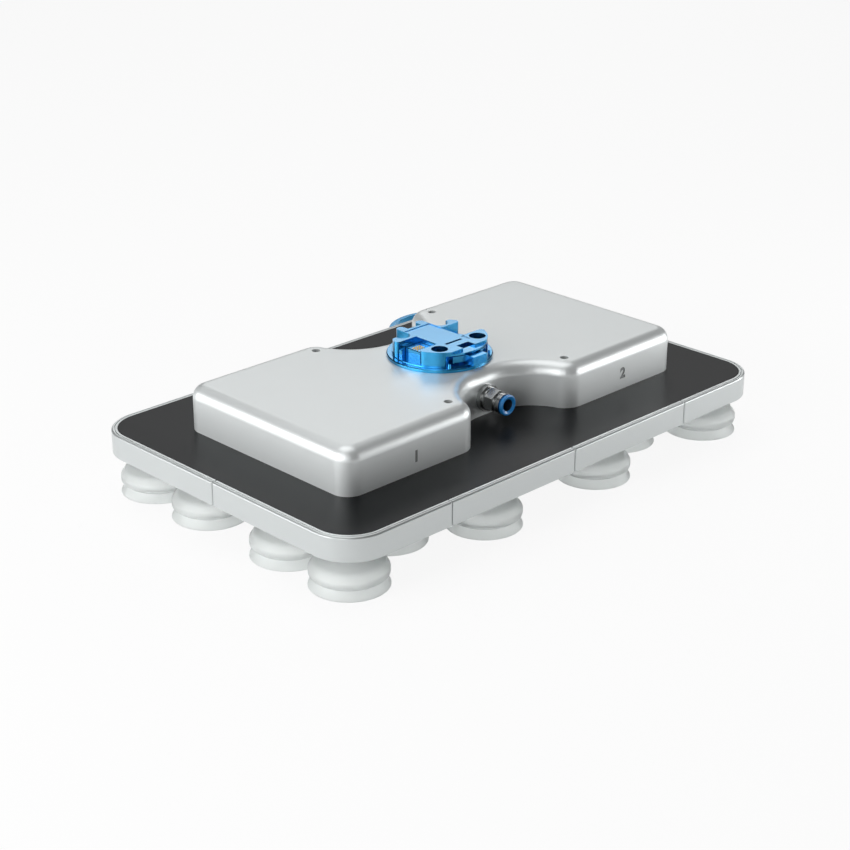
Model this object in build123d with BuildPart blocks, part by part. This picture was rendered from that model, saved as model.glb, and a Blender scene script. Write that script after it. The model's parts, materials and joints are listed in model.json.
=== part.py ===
from build123d import *
import math
import os

os.makedirs("parts", exist_ok=True)

# Axes and origin
# The origin is the centre of the coupling's locating face, on the robot flange axis. +X runs along the
# plate's long side, +Y points away from the air fitting, +Z points towards the robot. Millimetres.

# Plate and rim
plate_length = 390.0
plate_width = 244.0
rim_height = 16.0
rim_wall = 4.0
rim_corner_radius = 28.0
rim_edge_chamfer = 0.9
rim_groove_width = 0.6
rim_groove_depth = 0.8
rim_groove_inset = 1.5
rim_seam_gap = 0.6
rim_end_chamfer = 0.6
rim_seam_x = 110.0
rim_tongue_height = 2.0
rim_tongue_depth = 5.0
sheet_thickness = 2.5
bottom_plate_thickness = 3.5
bottom_plate_recess = 0.5
plate_fit_gap = 0.1
chamber_length = 172.0
chamber_width = 100.0
chamber_depth = 7.0
chamber_corner_radius = 8.0
chamber_rib = 8.0
seal_thickness = 0.5
bottom_screw_head_radius = 2.8
bottom_screw_shank_radius = 1.5
bottom_screw_length = 8.0
bottom_screw_spacing_y = 131.0
bottom_screw_inset = 4.5

# Housing
housing_length = 308.0
housing_width = 154.0
housing_height = 30.6
housing_wall = 3.0
housing_corner_radius = 12.0
housing_edge_radius = 9.0
waist_width = 86.0
waist_flat = 12.0
waist_hollow_radius = 38.0
waist_shoulder_radius = 14.0
housing_screw_spacing_x = 109.0
housing_screw_spacing_y = 125.0
housing_screw_head_radius = 2.75
housing_screw_head_height = 3.0
housing_screw_shank_radius = 1.5
housing_screw_recess = 1.6
housing_screw_length = 35.0
housing_boss_radius = 5.5
housing_seal_thickness = 0.8
housing_seal_width = 2.0
housing_seal_round = 0.2

# Coupling
flange_radius = 35.6
flange_thickness = 2.4
flange_chamfer = 0.6
post_radius = 0.9
post_height = 3.2
post_angle = 34.0
coupling_radius = 32.0
coupling_corner_radius = 2.5
coupling_height = 12.6
block_rise = 0.5
plateau_half_length_x = 11.5
plateau_front_y = -12.0
plateau_back_y = 22.0
rail_width = 2.0
pocket_half_width = 10.0
pocket_floor_height = 2.9
back_notch_width = 12.0
well_circle_radius = 25.0
well_radius = 5.6
well_floor_height = 4.4
well_wall = 1.0
coupling_screw_head_radius = 5.0
coupling_screw_head_height = 3.6
coupling_screw_shank_radius = 3.0
coupling_screw_length = 16.0
contact_ledge_width = 2.6
contact_ledge_height = 10.0
contact_ledge_length = 13.5
front_slot_centre_x = -1.5
front_slot_gap = 1.3
front_slot_width = 15.0
front_slot_breadth = 2.1
front_slot_depth = 6.2
side_groove_x = 10.4
side_groove_back_y = -10.0
side_groove_width = 0.9
side_groove_length = 7.8
side_groove_depth = 1.5
shelf_thickness = 1.6
shelf_lip_thickness = 1.3
shelf_notch_width = 11.0
shelf_window_length = 3.7
latch_pocket_back_y = -21.0
latch_pocket_half_width = 20.0
shelf_front_y = -27.4

# Contact block
contact_block_length = 13.0
contact_block_width = 14.0
contact_block_height = 6.6
contact_block_chamfer = 0.5
contact_field_offset = 1.5
contact_pitch = 1.9
contact_columns = 4
contact_rows = 3
contact_pin_radius = 0.6
contact_pin_rise = 0.5
contact_pin_length = 12.0

# Release latch
latch_tab_width = 12.4
latch_tab_front_y = -38.4
latch_tab_height = 6.2
latch_lift = 0.9
latch_rib_count = 5
latch_rib_depth = 0.7
latch_rib_pitch = 1.1
latch_rib_thickness = 0.5
latch_arm_inner_radius = 30.0
latch_arm_outer_radius = 31.8
latch_arm_half_angle = 29.0
latch_arm_height = 4.6
latch_arm_edge = 0.8
latch_arm_recess = 1.0
latch_neck_width = 10.0
latch_travel = 1.5
latch_spring_radius = 1.4
latch_spring_wire_radius = 0.5
latch_spring_length = 5.0
latch_spring_spacing = 5.0
latch_clearance = 0.3

# Air fitting
fitting_height_above_plate = 12.2
fitting_collar_radius = 9.1
fitting_collar_length = 3.2
fitting_step_radius = 7.8
fitting_step_length = 2.2
fitting_hex_across_flats = 14.6
fitting_hex_length = 6.8
fitting_groove_radius = 6.0
fitting_groove_length = 1.8
fitting_ring_radius = 7.0
fitting_ring_length = 3.4
fitting_thread_radius = 6.4
fitting_thread_length = 8.0
tube_bore_radius = 4.1
tube_seat_depth = 14.0
air_passage_radius = 2.6
collet_flange_radius = 7.3
collet_flange_thickness = 2.0
collet_sleeve_radius = 5.1
collet_sleeve_length = 7.0
collet_travel = 1.2
collet_slot_width = 0.8
collet_slot_length = 4.5
collet_clearance = 0.1
seal_ring_section = 1.0
grip_ring_thickness = 0.5
tube_clearance = 0.05

# Cups
cup_radius = 25.0
cup_reach = 44.2
cup_fold_radius = 24.5
cup_notch_radius = 19.0
cup_lip_height = 5.2
cup_fold_height = 4.0
cup_fold_to_notch = 2.2
cup_dome_radius = 19.5
cup_dome_height = 4.0
cup_shoulder_height = 8.3
cup_neck_radius = 9.0
cup_bore_radius = 5.5
cup_dish_radius = 23.8
cup_dish_inner_radius = 14.0
cup_dish_depth = 2.0
cup_stroke = 10.0
corner_cup_x = 167.0
corner_cup_y = 92.5
side_cup_y = 38.5
front_cup_x = 52.5
inner_cup_x = 110.0
inner_cup_y = 66.0
stem_hex_across_flats = 17.0
stem_hex_height = 3.5
stem_barb_radius = 5.2
stem_barb_clearance = 2.5
stem_thread_radius = 6.4
stem_bore_radius = 2.5
thread_clearance = 0.1

# Blue loop
loop_centre_x = 102.0
loop_outer_radius = 39.0
loop_thickness = 3.5
loop_height = 8.0
loop_drop = 4.0
loop_reach = 17.6
loop_foot_length = 14.0
loop_foot_thickness = 3.0
loop_screw_radius = 1.5
loop_screw_length = 6.5
loop_screw_head_radius = 2.75
loop_screw_head_height = 1.6

# Inner works
manifold_length = 76.0
manifold_back_y = 32.0
manifold_foot_chamfer = 3.6
cross_passage_radius = 3.0
ejector_block_length = 52.0
ejector_block_width = 92.0
ejector_block_height = 18.0
nozzle_spacing = 26.0
nozzle_radius = 6.0
nozzle_length = 70.0
nozzle_mouth_radius = 4.0
nozzle_throat_radius = 1.2
nozzle_throat_length = 6.0
nozzle_inlet_length = 12.0
valve_gap = 2.0
valve_body_length = 22.0
valve_coil_length = 18.0
valve_width = 18.0
valve_height = 17.0
valve_spacing = 28.0
valve_coil_radius = 7.5
sensor_size = 11.0
sensor_height = 9.0
sensor_port_radius = 2.0
sensor_port_height = 2.5
sensor_spacing_y = 100.0
sensor_x = 116.0
board_end_gap = 5.0
board_length = 50.0
board_width = 126.0
board_thickness = 1.6
board_corner_radius = 1.6
board_height = 21.0
standoff_radius = 3.0
standoff_inset = 4.5
silencer_radius = 6.0
silencer_rise = 4.0
silencer_edge = 1.5
silencer_spacing = 24.0
silencer_hole_reach = 12.0
vacuum_port_radius = 4.0
vacuum_port_x = 60.0
vacuum_port_y = 30.0

# Levels, worked out from the sizes above
housing_top_z = -coupling_height
plate_top_z = housing_top_z - housing_height
rim_bottom_z = plate_top_z - rim_height
bottom_face_z = rim_bottom_z + bottom_plate_recess
bottom_plate_top_z = bottom_face_z + bottom_plate_thickness
tongue_z = bottom_plate_top_z + seal_thickness
frame_top_z = plate_top_z - sheet_thickness
cup_lip_z = plate_top_z - cup_reach
cup_split_z = cup_lip_z + cup_lip_height
cup_top_z = bottom_face_z - stem_hex_height
stem_barb_length = cup_top_z - cup_split_z - cup_stroke - stem_barb_clearance
coupling_top_z = block_rise
flange_top_z = housing_top_z + flange_thickness
pocket_floor_z = housing_top_z + pocket_floor_height
well_floor_z = housing_top_z + well_floor_height
housing_inner_top_z = housing_top_z - housing_wall
fitting_z = plate_top_z + fitting_height_above_plate
housing_screw_head_z = housing_top_z - housing_screw_recess - housing_screw_head_height
housing_screw_end_z = housing_screw_head_z - housing_screw_length
loop_z = plate_top_z - loop_drop - loop_height / 2
waist_y = waist_width / 2
inner_length = plate_length - 2 * rim_wall
inner_width = plate_width - 2 * rim_wall
inner_corner_radius = rim_corner_radius - rim_wall
well_offset = well_circle_radius / math.sqrt(2)
contact_centre_x = -plateau_half_length_x - contact_block_length / 2
contact_field_x = contact_centre_x - contact_field_offset
contact_field_length = contact_columns * contact_pitch
contact_field_width = contact_rows * contact_pitch
back_face_y = plate_width / 2
loop_centre_y = back_face_y + loop_reach - loop_outer_radius
loop_half_span = math.sqrt(loop_outer_radius ** 2 - (back_face_y - loop_centre_y) ** 2)
loop_foot_x = loop_half_span - loop_thickness + loop_foot_length / 2
board_centre_x = (board_length - housing_length) / 2 + housing_wall + board_end_gap


def four_corners(x, y):
    """The four points that mirror (x, y) in both axes."""
    return [(-x, -y), (x, -y), (-x, y), (x, y)]


cup_places = (four_corners(corner_cup_x, corner_cup_y) + four_corners(corner_cup_x, side_cup_y)
              + four_corners(front_cup_x, corner_cup_y) + four_corners(inner_cup_x, inner_cup_y))


def finish(builder, name):
    """Label a piece and write it to its own file."""
    builder.part.label = name
    export_step(builder.part, f"parts/{name}.step")


def rounded_slab(length, width, radius, bottom, height):
    """A plate with rounded corners, centred on the origin axis."""
    with BuildPart() as slab:
        with BuildSketch(Plane.XY.offset(bottom)):
            RectangleRounded(length, width, radius)
        extrude(amount=height)
    return slab.part


def housing_body(inset, bottom, top, edge_radius):
    """The bow-tie form of the housing, drawn inwards by inset, with its top edge rounded."""
    half_length = housing_length / 2 - inset
    half_width = housing_width / 2 - inset
    half_waist = waist_y - inset
    hollow = waist_hollow_radius + inset
    shoulder = waist_shoulder_radius - inset
    corner = housing_corner_radius - inset
    bend = math.degrees(math.acos(1 - (half_width - half_waist) / (hollow + shoulder)))
    with BuildPart() as body:
        with BuildSketch(Plane.XY.offset(bottom)):
            with BuildLine():
                flat = Line((0, -half_waist), (waist_flat / 2, -half_waist))
                bow = JernArc(flat @ 1, flat % 1, hollow, -bend)
                turn = JernArc(bow @ 1, bow % 1, shoulder, bend)
                front = Line(turn @ 1, (half_length - corner, -half_width))
                round_off = JernArc(front @ 1, front % 1, corner, 90)
                Line(round_off @ 1, (half_length, 0))
                mirror(about=Plane.XZ)
                mirror(about=Plane.YZ)
            make_face()
        extrude(amount=top - bottom)
        fillet(body.faces().sort_by(Axis.Z)[-1].edges(), edge_radius)
    return body.part


# Plate

def rim_ring():
    """The whole rim before it is cut into lengths: a wall with a groove in its top and a tongue inside.

    Its outer faces are notched where the lengths meet, which chamfers their ends.
    """
    groove_length = inner_length + 2 * rim_groove_inset
    groove_breadth = inner_width + 2 * rim_groove_inset
    groove_corner = inner_corner_radius + rim_groove_inset
    front_seams = four_corners(rim_seam_x, plate_width / 2) + [(0, -plate_width / 2), (0, plate_width / 2)]
    side_seams = [(-plate_length / 2, 0), (plate_length / 2, 0)]
    with BuildPart() as ring:
        with BuildSketch(Plane.XY.offset(rim_bottom_z)):
            RectangleRounded(plate_length, plate_width, rim_corner_radius)
            RectangleRounded(inner_length, inner_width, inner_corner_radius, mode=Mode.SUBTRACT)
        extrude(amount=rim_height)
        outer_edges = ring.faces().sort_by(Axis.Z)[-1].outer_wire().edges()
        chamfer(outer_edges, rim_edge_chamfer)
        with BuildSketch(Plane.XY.offset(rim_bottom_z)):
            with Locations(*front_seams, *side_seams):
                RegularPolygon(rim_seam_gap / 2 + rim_end_chamfer, 4)
        extrude(amount=rim_height, mode=Mode.SUBTRACT)
        with BuildSketch(Plane.XY.offset(plate_top_z)):
            RectangleRounded(groove_length + 2 * rim_groove_width, groove_breadth + 2 * rim_groove_width,
                             groove_corner + rim_groove_width)
            RectangleRounded(groove_length, groove_breadth, groove_corner, mode=Mode.SUBTRACT)
        extrude(amount=-rim_groove_depth, mode=Mode.SUBTRACT)
        with BuildSketch(Plane.XY.offset(tongue_z)):
            RectangleRounded(inner_length, inner_width, inner_corner_radius)
            RectangleRounded(inner_length - 2 * rim_tongue_depth, inner_width - 2 * rim_tongue_depth,
                             inner_corner_radius - rim_tongue_depth, mode=Mode.SUBTRACT)
        extrude(amount=rim_tongue_height)
        with BuildSketch(Plane.XZ.offset(-back_face_y)):
            with Locations((loop_centre_x - loop_foot_x, loop_z), (loop_centre_x + loop_foot_x, loop_z)):
                Circle(loop_screw_radius + thread_clearance)
        extrude(amount=rim_wall, mode=Mode.SUBTRACT)
    return ring.part


rim = rim_ring()
rim_middle_z = plate_top_z - rim_height / 2
half_seam = rim_seam_gap / 2
corner_reach_x = plate_length / 2 - rim_seam_x - half_seam
corner_reach_y = plate_width / 2 - half_seam
rail_reach = rim_seam_x - 2 * half_seam
rail_depth = rim_wall + rim_tongue_depth

for side_y, side_name in ((-1, "front"), (1, "rear")):
    for side_x, end_name in ((-1, "left"), (1, "right")):
        with BuildPart() as rim_corner:
            add(rim)
            with Locations((side_x * (rim_seam_x + half_seam + corner_reach_x / 2),
                            side_y * (half_seam + corner_reach_y / 2), rim_middle_z)):
                Box(corner_reach_x, corner_reach_y, rim_height, mode=Mode.INTERSECT)
        finish(rim_corner, f"rim_corner_{side_name}_{end_name}")
        with BuildPart() as rim_rail:
            add(rim)
            with Locations((side_x * (half_seam + rail_reach / 2),
                            side_y * (plate_width / 2 - rail_depth / 2), rim_middle_z)):
                Box(rail_reach, rail_depth, rim_height, mode=Mode.INTERSECT)
        finish(rim_rail, f"rim_rail_{side_name}_{end_name}")

slab_length = inner_length - 2 * plate_fit_gap
slab_width = inner_width - 2 * plate_fit_gap
slab_radius = inner_corner_radius - plate_fit_gap
frame_foot_length = slab_length - 2 * rim_tongue_depth
frame_foot_width = slab_width - 2 * rim_tongue_depth
frame_foot_radius = slab_radius - rim_tongue_depth
chamber_centre_x = (chamber_length + chamber_rib) / 2
chamber_centre_y = (chamber_width + chamber_rib) / 2
bottom_screw_head_height = bottom_screw_head_radius - bottom_screw_shank_radius
bottom_screw_x = frame_foot_length / 2 - bottom_screw_inset
bottom_screw_y = frame_foot_width / 2 - bottom_screw_inset
vacuum_port_places = four_corners(vacuum_port_x, vacuum_port_y)
housing_screw_places = four_corners(housing_screw_spacing_x / 2, housing_screw_spacing_y / 2)
chamber_places = four_corners(chamber_centre_x, chamber_centre_y)
border_screw_places = (four_corners(bottom_screw_x, bottom_screw_spacing_y / 2)
                       + four_corners(chamber_centre_x, bottom_screw_y))
rib_screw_places = [(0, -chamber_centre_y), (0, chamber_centre_y),
                    (-chamber_centre_x, 0), (chamber_centre_x, 0)]
bottom_screw_places = border_screw_places + rib_screw_places

with BuildPart() as bottom_plate:
    add(rounded_slab(slab_length, slab_width, slab_radius, bottom_face_z, bottom_plate_thickness))
    with Locations(*[(x, y, bottom_face_z) for x, y in cup_places]):
        Cylinder(stem_thread_radius + thread_clearance, bottom_plate_thickness,
                 align=(Align.CENTER, Align.CENTER, Align.MIN), mode=Mode.SUBTRACT)
    with Locations(Plane.XY.offset(bottom_face_z).rotated((180, 0, 0))):
        with Locations(*bottom_screw_places):
            CounterSinkHole(bottom_screw_shank_radius + thread_clearance,
                            bottom_screw_head_radius + thread_clearance, counter_sink_angle=90)
finish(bottom_plate, "bottom_plate")

with BuildPart() as plenum_seal:
    with BuildSketch(Plane.XY.offset(bottom_plate_top_z)):
        RectangleRounded(frame_foot_length, frame_foot_width, frame_foot_radius)
        with Locations(*chamber_places):
            RectangleRounded(chamber_length, chamber_width, chamber_corner_radius, mode=Mode.SUBTRACT)
        with Locations(*bottom_screw_places):
            Circle(bottom_screw_shank_radius + thread_clearance, mode=Mode.SUBTRACT)
    extrude(amount=seal_thickness)
finish(plenum_seal, "plenum_seal")

with BuildPart() as plenum_frame:
    add(rounded_slab(frame_foot_length, frame_foot_width, frame_foot_radius, tongue_z, rim_tongue_height))
    add(rounded_slab(slab_length, slab_width, slab_radius, tongue_z + rim_tongue_height,
                     frame_top_z - tongue_z - rim_tongue_height))
    with BuildSketch(Plane.XY.offset(tongue_z)):
        with Locations(*chamber_places):
            RectangleRounded(chamber_length, chamber_width, chamber_corner_radius)
        with Locations(*housing_screw_places):
            Circle(housing_boss_radius, mode=Mode.SUBTRACT)
    extrude(amount=chamber_depth, mode=Mode.SUBTRACT)
    with BuildSketch(Plane.XY.offset(frame_top_z)):
        with Locations(*vacuum_port_places):
            Circle(vacuum_port_radius)
    extrude(amount=chamber_depth - (frame_top_z - tongue_z), mode=Mode.SUBTRACT)
    with BuildSketch(Plane.XY.offset(frame_top_z)):
        with Locations(*housing_screw_places):
            Circle(housing_screw_shank_radius + thread_clearance)
    extrude(amount=housing_screw_end_z - thread_clearance - frame_top_z, mode=Mode.SUBTRACT)
    with BuildSketch(Plane.XY.offset(tongue_z)):
        with Locations(*bottom_screw_places):
            Circle(bottom_screw_shank_radius + thread_clearance)
    extrude(amount=bottom_face_z + bottom_screw_length + thread_clearance - tongue_z, mode=Mode.SUBTRACT)
finish(plenum_frame, "plenum_frame")

with BuildPart() as top_sheet:
    add(rounded_slab(slab_length, slab_width, slab_radius, frame_top_z, sheet_thickness))
    with BuildSketch(Plane.XY.offset(frame_top_z)):
        with Locations(*vacuum_port_places):
            Circle(vacuum_port_radius)
        with Locations(*housing_screw_places):
            Circle(housing_screw_shank_radius + thread_clearance)
    extrude(amount=sheet_thickness, mode=Mode.SUBTRACT)
finish(top_sheet, "top_sheet")

with BuildPart() as bottom_screws:
    with Locations(*[(x, y, bottom_face_z) for x, y in bottom_screw_places]):
        Cone(bottom_screw_head_radius, bottom_screw_shank_radius, bottom_screw_head_height,
             align=(Align.CENTER, Align.CENTER, Align.MIN))
        Cylinder(bottom_screw_shank_radius, bottom_screw_length,
                 align=(Align.CENTER, Align.CENTER, Align.MIN))
finish(bottom_screws, "bottom_screws")


# Housing

with BuildPart() as housing:
    add(housing_body(0, plate_top_z, housing_top_z, housing_edge_radius))
    add(housing_body(housing_wall, plate_top_z, housing_inner_top_z, housing_edge_radius - housing_wall),
        mode=Mode.SUBTRACT)
    with BuildSketch(Plane.XY.offset(plate_top_z)):
        with Locations(*housing_screw_places):
            Circle(housing_boss_radius)
    extrude(until=Until.NEXT)
    with Locations(Plane.XY.offset(housing_top_z)):
        with Locations(*housing_screw_places):
            CounterBoreHole(housing_screw_shank_radius + thread_clearance,
                            housing_screw_head_radius + thread_clearance,
                            housing_screw_recess + housing_screw_head_height)
    with BuildSketch(Plane.XY.offset(housing_top_z)):
        with Locations((contact_field_x, 0)):
            Rectangle(contact_field_length, contact_field_width)
        with PolarLocations(well_circle_radius, 4, start_angle=45):
            Circle(coupling_screw_shank_radius + thread_clearance)
    extrude(amount=-housing_wall, mode=Mode.SUBTRACT)
    with BuildSketch(Plane.XZ.offset(waist_y)):
        with Locations((0, fitting_z)):
            Circle(fitting_thread_radius + thread_clearance)
    extrude(amount=-housing_wall, mode=Mode.SUBTRACT)
    # Flat seat for the fitting's collar in the curved wall
    with BuildSketch(Plane.XZ.offset(waist_y)):
        with Locations((0, fitting_z)):
            Circle(fitting_collar_radius + thread_clearance)
    extrude(amount=fitting_collar_length, mode=Mode.SUBTRACT)
    with BuildSketch(Plane.XZ.offset(-waist_y)):
        with Locations((-silencer_spacing / 2, fitting_z), (silencer_spacing / 2, fitting_z)):
            Circle(silencer_radius + thread_clearance)
    extrude(amount=silencer_hole_reach, both=True, mode=Mode.SUBTRACT)
finish(housing, "housing")

with BuildPart() as housing_seal:
    add(housing_body(housing_wall, plate_top_z, plate_top_z + housing_seal_thickness, housing_seal_round))
    add(housing_body(housing_wall + housing_seal_width, plate_top_z, plate_top_z + housing_seal_thickness,
                     housing_seal_round), mode=Mode.SUBTRACT)
finish(housing_seal, "housing_seal")

with BuildPart() as housing_screws:
    with BuildSketch(Plane.XY.offset(housing_screw_head_z)):
        with Locations(*housing_screw_places):
            Circle(housing_screw_head_radius)
    extrude(amount=housing_screw_head_height)
    with BuildSketch(Plane.XY.offset(housing_screw_head_z)):
        with Locations(*housing_screw_places):
            Circle(housing_screw_shank_radius)
    extrude(amount=-housing_screw_length)
finish(housing_screws, "housing_screws")


# Coupling

pocket_centre_x = plateau_half_length_x + coupling_radius / 2
body_height = coupling_top_z - pocket_floor_z
well_depth = coupling_top_z - well_floor_z
latch_bottom_z = flange_top_z + latch_lift
shelf_lip_z = coupling_top_z - shelf_thickness
latch_pocket_top_z = shelf_lip_z - shelf_lip_thickness
ledge_top_z = housing_top_z + contact_ledge_height
post_circle_radius = (coupling_radius + flange_radius - flange_chamfer) / 2

with BuildPart() as coupling_flange:
    with BuildSketch(Plane.XY.offset(housing_top_z)):
        Circle(flange_radius)
    extrude(amount=flange_thickness)
    chamfer(coupling_flange.edges().sort_by(Axis.Z)[-1], flange_chamfer)
    with BuildSketch(Plane.XY.offset(flange_top_z)):
        Circle(coupling_radius)
    extrude(amount=pocket_floor_z - flange_top_z)
    # Stop posts beside the ends of the latch's arms
    with BuildSketch(Plane.XY.offset(flange_top_z)):
        with PolarLocations(post_circle_radius, 2, start_angle=-90 - post_angle, angular_range=2 * post_angle,
                            endpoint=True):
            Circle(post_radius)
    extrude(amount=post_height)
    with BuildSketch(Plane.XY.offset(housing_top_z)):
        with Locations((contact_field_x, 0)):
            Rectangle(contact_field_length, contact_field_width)
        with PolarLocations(well_circle_radius, 4, start_angle=45):
            Circle(coupling_screw_shank_radius + thread_clearance)
    extrude(amount=pocket_floor_height, mode=Mode.SUBTRACT)
finish(coupling_flange, "coupling_flange")

with BuildPart() as coupling_body:
    with BuildSketch(Plane.XY.offset(pocket_floor_z)):
        Circle(coupling_radius)
    extrude(amount=body_height)
    # Locating plateau, a shallow recess between its rails
    with BuildSketch():
        with Locations((0, (plateau_front_y + plateau_back_y) / 2)):
            Rectangle(2 * plateau_half_length_x, plateau_back_y - plateau_front_y)
    extrude(amount=block_rise, mode=Mode.SUBTRACT)
    # Side pockets and back notch
    with BuildSketch(Plane.XY.offset(coupling_top_z)):
        with Locations((-pocket_centre_x, 0), (pocket_centre_x, 0)):
            Rectangle(coupling_radius, 2 * pocket_half_width)
        with Locations((0, plateau_back_y + rail_width)):
            Rectangle(back_notch_width, coupling_radius, align=(Align.CENTER, Align.MIN))
    extrude(amount=-body_height, mode=Mode.SUBTRACT)
    # Back screw wells, open towards the back and the sides
    with BuildSketch(Plane.XY.offset(coupling_top_z)):
        with Locations((-well_offset, well_offset), (well_offset, well_offset)):
            Circle(well_radius)
        with Locations((well_radius - well_offset, well_offset)):
            Rectangle(coupling_radius, coupling_radius, align=(Align.MAX, Align.MIN))
        with Locations((well_offset - well_radius, well_offset)):
            Rectangle(coupling_radius, coupling_radius, align=(Align.MIN, Align.MIN))
    extrude(amount=-well_depth, mode=Mode.SUBTRACT)
    # Blunt the corners where the cuts meet the outer wall
    outer_corners = [
        edge for edge in coupling_body.edges().filter_by(Axis.Z)
        if math.hypot(edge.center().X, edge.center().Y) > coupling_radius - coupling_corner_radius
    ]
    fillet(outer_corners, coupling_corner_radius)
    # Latch pocket under the front shelf, with the round walls of the front wells left standing
    with BuildSketch(Plane.XY.offset(pocket_floor_z)):
        with Locations((0, latch_pocket_back_y)):
            Rectangle(2 * latch_pocket_half_width, coupling_radius, align=(Align.CENTER, Align.MAX))
        with Locations((-well_offset, -well_offset), (well_offset, -well_offset)):
            Circle(well_radius + well_wall, mode=Mode.SUBTRACT)
            with Locations((0, 0)):
                Rectangle(2 * (well_radius + well_wall), well_radius, align=(Align.CENTER, Align.MIN),
                          mode=Mode.SUBTRACT)
    extrude(amount=latch_pocket_top_z - pocket_floor_z, mode=Mode.SUBTRACT)
    # Front edge of the shelf, set back over a thin lip, with its notch and window over the push tab
    with BuildSketch(Plane.XY.offset(coupling_top_z)):
        with Locations((0, shelf_front_y)):
            Rectangle(2 * (well_offset - well_wall), coupling_radius, align=(Align.CENTER, Align.MAX))
        with Locations((0, latch_pocket_back_y)):
            Rectangle(shelf_notch_width, coupling_radius, align=(Align.CENTER, Align.MAX))
    extrude(amount=-shelf_thickness, mode=Mode.SUBTRACT)
    with BuildSketch(Plane.XY.offset(shelf_lip_z)):
        with Locations((0, latch_pocket_back_y)):
            Rectangle(shelf_notch_width, shelf_window_length, align=(Align.CENTER, Align.MAX))
    extrude(amount=-shelf_lip_thickness, mode=Mode.SUBTRACT)
    # Slot in front of the plateau and the thin groove at its side
    with BuildSketch(Plane.XY.offset(coupling_top_z)):
        with Locations((front_slot_centre_x, plateau_front_y - front_slot_gap)):
            Rectangle(front_slot_width, front_slot_breadth, align=(Align.CENTER, Align.MAX))
    extrude(amount=-front_slot_depth, mode=Mode.SUBTRACT)
    with BuildSketch(Plane.XY.offset(coupling_top_z)):
        with Locations((side_groove_x, side_groove_back_y)):
            Rectangle(side_groove_width, side_groove_length, align=(Align.CENTER, Align.MAX))
    extrude(amount=-side_groove_depth, mode=Mode.SUBTRACT)
    # Front screw wells
    with Locations(Plane.XY.offset(coupling_top_z)):
        with Locations((-well_offset, -well_offset), (well_offset, -well_offset)):
            Hole(well_radius, well_depth)
    with Locations(Plane.XY.offset(well_floor_z)):
        with PolarLocations(well_circle_radius, 4, start_angle=45):
            Hole(coupling_screw_shank_radius + thread_clearance, well_floor_z - pocket_floor_z)
    # Guide ledge on the contact pocket's far wall
    with BuildSketch(Plane.XZ.offset(contact_ledge_width - pocket_half_width)):
        with BuildLine():
            Polyline((-plateau_half_length_x, pocket_floor_z), (-plateau_half_length_x, ledge_top_z),
                     (-plateau_half_length_x - contact_ledge_length, ledge_top_z),
                     (-plateau_half_length_x - contact_ledge_length - contact_ledge_width,
                      ledge_top_z - contact_ledge_width),
                     (-plateau_half_length_x - contact_ledge_length - contact_ledge_width, pocket_floor_z),
                     close=True)
        make_face()
    extrude(amount=-contact_ledge_width)
finish(coupling_body, "coupling_body")

with BuildPart() as coupling_screws:
    with BuildSketch(Plane.XY.offset(well_floor_z)):
        with PolarLocations(well_circle_radius, 4, start_angle=45):
            Circle(coupling_screw_head_radius)
    extrude(amount=coupling_screw_head_height)
    with BuildSketch(Plane.XY.offset(well_floor_z)):
        with PolarLocations(well_circle_radius, 4, start_angle=45):
            Circle(coupling_screw_shank_radius)
    extrude(amount=-coupling_screw_length)
finish(coupling_screws, "coupling_screws")

contact_places = [
    (contact_field_x + (column - (contact_columns - 1) / 2) * contact_pitch,
     (row - (contact_rows - 1) / 2) * contact_pitch)
    for column in range(contact_columns)
    for row in range(contact_rows)
]
contact_top_z = pocket_floor_z + contact_block_height

with BuildPart() as contact_block:
    with BuildSketch(Plane.XY.offset(pocket_floor_z)):
        with Locations((contact_centre_x, 0)):
            Rectangle(contact_block_length, contact_block_width)
    extrude(amount=contact_block_height)
    chamfer(contact_block.edges().group_by(Axis.Z)[-1], contact_block_chamfer)
    with BuildSketch(Plane.XY.offset(pocket_floor_z)):
        with Locations(*contact_places):
            Circle(contact_pin_radius)
    extrude(amount=contact_block_height, mode=Mode.SUBTRACT)
finish(contact_block, "contact_block")

with BuildPart() as contact_pins:
    with BuildSketch(Plane.XY.offset(contact_top_z + contact_pin_rise)):
        with Locations(*contact_places):
            Circle(contact_pin_radius)
    extrude(amount=-contact_pin_length)
finish(contact_pins, "contact_pins")


# Release latch

def ring_sector(outer_radius, inner_radius, half_angle):
    """A piece of a flat ring about the origin axis, centred on the latch's side."""
    with BuildSketch() as sector:
        with BuildLine():
            outer = CenterArc((0, 0), outer_radius, -90 - half_angle, 2 * half_angle)
            inner = CenterArc((0, 0), inner_radius, -90 - half_angle, 2 * half_angle)
            Line(outer @ 0, inner @ 0)
            Line(outer @ 1, inner @ 1)
        make_face()
    return sector.sketch


latch_neck_back_y = latch_pocket_back_y - latch_travel - 2 * latch_clearance
latch_neck_z = latch_bottom_z + latch_arm_height / 2
latch_spring_places = [(-latch_spring_spacing / 2, latch_neck_z), (latch_spring_spacing / 2, latch_neck_z)]
latch_arm_z = latch_bottom_z + latch_tab_height - latch_arm_height
latch_edge_angle = math.degrees(latch_arm_edge / latch_arm_outer_radius)
arm_outline = ring_sector(latch_arm_outer_radius, latch_arm_inner_radius, latch_arm_half_angle)
arm_recess_outline = ring_sector(latch_arm_outer_radius, latch_arm_outer_radius - latch_arm_recess,
                                 latch_arm_half_angle - latch_edge_angle)

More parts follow.
